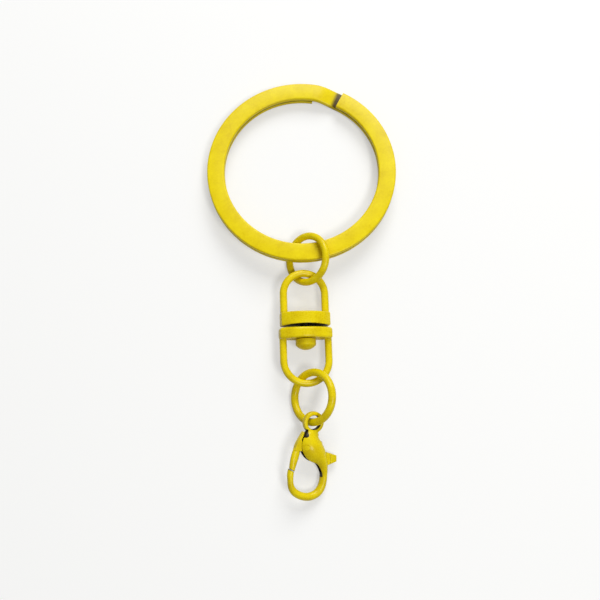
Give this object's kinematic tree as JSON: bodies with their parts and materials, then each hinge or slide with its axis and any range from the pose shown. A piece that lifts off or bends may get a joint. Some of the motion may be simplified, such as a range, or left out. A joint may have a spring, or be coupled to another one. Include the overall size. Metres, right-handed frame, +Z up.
{
  "type": "key chain with split ring, swivel and lobster clasp",
  "caption": "Painted key chain: a flat split key ring, a jump ring, a riveted swivel, a second jump ring and a spring-gate lobster clasp, laid out straight.",
  "frame": {"origin": "bottom centre of the bounding box of the chain laid straight on a table", "axes": "+Y along the chain from the clasp to the split ring, +Z up from the table, +X to the side of the clasp's thumb tab"},
  "size_m": [0.03, 0.0662, 0.0062],
  "materials": {
    "split_ring": "baked yellow paint, satin, slightly pebbled",
    "upper_jump_ring": "baked yellow paint, satin, slightly pebbled",
    "swivel_upper_bail": "baked yellow paint, satin, slightly pebbled",
    "swivel_rivet": "baked yellow paint, satin, slightly pebbled",
    "swivel_lower_bail": "baked yellow paint, satin, slightly pebbled",
    "lower_jump_ring": "baked yellow paint, satin, slightly pebbled",
    "clasp_body": "baked yellow paint, satin, slightly pebbled",
    "clasp_pin": "baked yellow paint, satin, slightly pebbled",
    "clasp_lever": "baked yellow paint, satin, slightly pebbled",
    "clasp_spring": "bright drawn wire"
  },
  "bodies": {
    "split_ring": {"split_ring": "split_ring"},
    "upper_jump_ring": {"upper_jump_ring": "upper_jump_ring"},
    "swivel_upper": {"swivel_upper_bail": "swivel_upper_bail", "swivel_rivet": "swivel_rivet"},
    "swivel_lower": {"swivel_lower_bail": "swivel_lower_bail"},
    "lower_jump_ring": {"lower_jump_ring": "lower_jump_ring"},
    "clasp": {"clasp_body": "clasp_body", "clasp_pin": "clasp_pin", "clasp_spring": "clasp_spring"},
    "clasp_lever": {"clasp_lever": "clasp_lever"}
  },
  "joints": [
    {"name": "upper_jump_ring_slide", "type": "hinge", "parent": "split_ring", "child": "upper_jump_ring", "pos_m": [0, 0.01811, 0.00198], "axis": [0, 0.0706, 0.9975], "continuous": true},
    {"name": "swivel_swing", "type": "hinge", "parent": "upper_jump_ring", "child": "swivel_upper", "pos_m": [0.0011, -0.00004, 0.00291], "axis": [0.7706, 0.0404, 0.6361], "range_deg": [-10, 85]},
    {"name": "swivel_turn", "type": "hinge", "parent": "swivel_upper", "child": "swivel_lower", "pos_m": [0.00057, -0.00703, 0.00251], "axis": [-0.0349, 0.9994, 0], "continuous": true},
    {"name": "lower_jump_ring_swing", "type": "hinge", "parent": "swivel_lower", "child": "lower_jump_ring", "pos_m": [0.00173, -0.01404, 0.00314], "axis": [0.7431, 0, 0.6691], "range_deg": [-5, 75]},
    {"name": "clasp_swing", "type": "hinge", "parent": "lower_jump_ring", "child": "clasp", "pos_m": [0.00173, -0.02153, 0.00314], "axis": [0.7431, 0, 0.6691], "range_deg": [-80, 80]},
    {"name": "clasp_lever_turn", "type": "hinge", "parent": "clasp", "child": "clasp_lever", "pos_m": [0.00033, -0.02514, 0.00314], "axis": [0.4226, -0.1652, 0.8911], "range_deg": [0, 25], "stiffness_Nm_per_rad": 0.0005, "springref_deg": -20.05, "deforming": ["clasp_spring"]}
  ]
}
